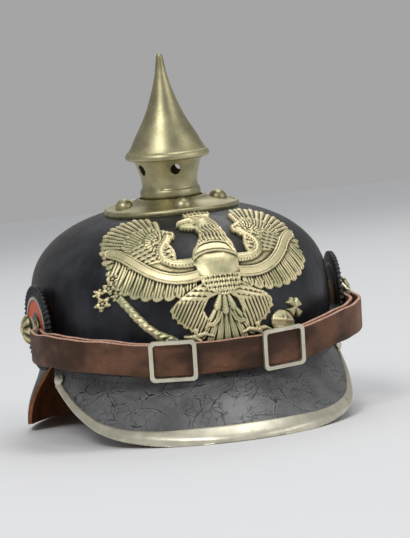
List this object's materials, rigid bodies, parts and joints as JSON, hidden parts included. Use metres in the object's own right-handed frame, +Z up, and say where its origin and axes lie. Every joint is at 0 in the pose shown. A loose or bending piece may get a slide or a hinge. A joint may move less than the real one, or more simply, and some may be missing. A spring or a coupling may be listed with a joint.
{
  "type": "spiked helmet",
  "caption": "Black leather spiked helmet with a metal spike on a round base plate, an eagle front plate, side cockades, a buckled brown chin strap and two visors.",
  "frame": {"origin": "Middle of the helmet's bounding box in plan, on the surface that both visors' edges stand on.", "axes": "+Z up, front towards -Y, the wearer's left towards +X."},
  "size_m": [0.213, 0.2968, 0.2303],
  "materials": {
    "black_leather": "black lacquered pressed leather, worn to a soft sheen",
    "visor_leather": "charcoal lacquered leather with fine age cracks",
    "strap_leather": "chestnut strap leather, rubbed paler at its edges",
    "plain_leather": "undyed tan leather",
    "nickel_silver": "dull nickel silver with a warm grey-gold tarnish",
    "pale_steel": "pale plated steel, slightly dull",
    "aged_brass": "pale pressed brass with olive tarnish in its hollows",
    "cockade_paint": "black paint on stamped sheet with a bright raised ring"
  },
  "bodies": {
    "helmet": {"shell": "black_leather", "front_visor": "visor_leather", "rear_visor": "visor_leather", "visor_trim": "pale_steel", "visor_trim_studs": "pale_steel", "base_plate": "nickel_silver", "base_studs": "nickel_silver", "base_washers": "plain_leather", "rear_spine": "nickel_silver", "rear_spine_studs": "nickel_silver", "eagle_plate": "aged_brass", "plate_loops": "aged_brass", "plate_wedges": "plain_leather", "cockade_right": "cockade_paint", "cockade_left": "cockade_paint", "lug_right": "aged_brass", "lug_left": "aged_brass", "lug_pads": "plain_leather", "lug_washers": "pale_steel", "lug_nuts": "pale_steel", "liner": "plain_leather"},
    "spike": {"spike_cone": "nickel_silver", "spike_neck": "nickel_silver", "bayonet_pins": "nickel_silver"},
    "strap": {"chin_strap": "strap_leather", "strap_buckle_right": "pale_steel", "strap_buckle_left": "pale_steel", "strap_fitting_right": "pale_steel", "strap_fitting_left": "pale_steel"}
  },
  "joints": [
    {"name": "spike_twist", "type": "hinge", "parent": "helmet", "child": "spike", "pos_m": [0, -0.00705, 0.14672], "axis": [0, -0.0966, 0.9953], "range_deg": [0, 30]},
    {"name": "strap_swing", "type": "hinge", "parent": "helmet", "child": "strap", "pos_m": [0, -0.02165, 0.06945], "axis": [-1, 0, 0], "range_deg": [0, 12]}
  ]
}
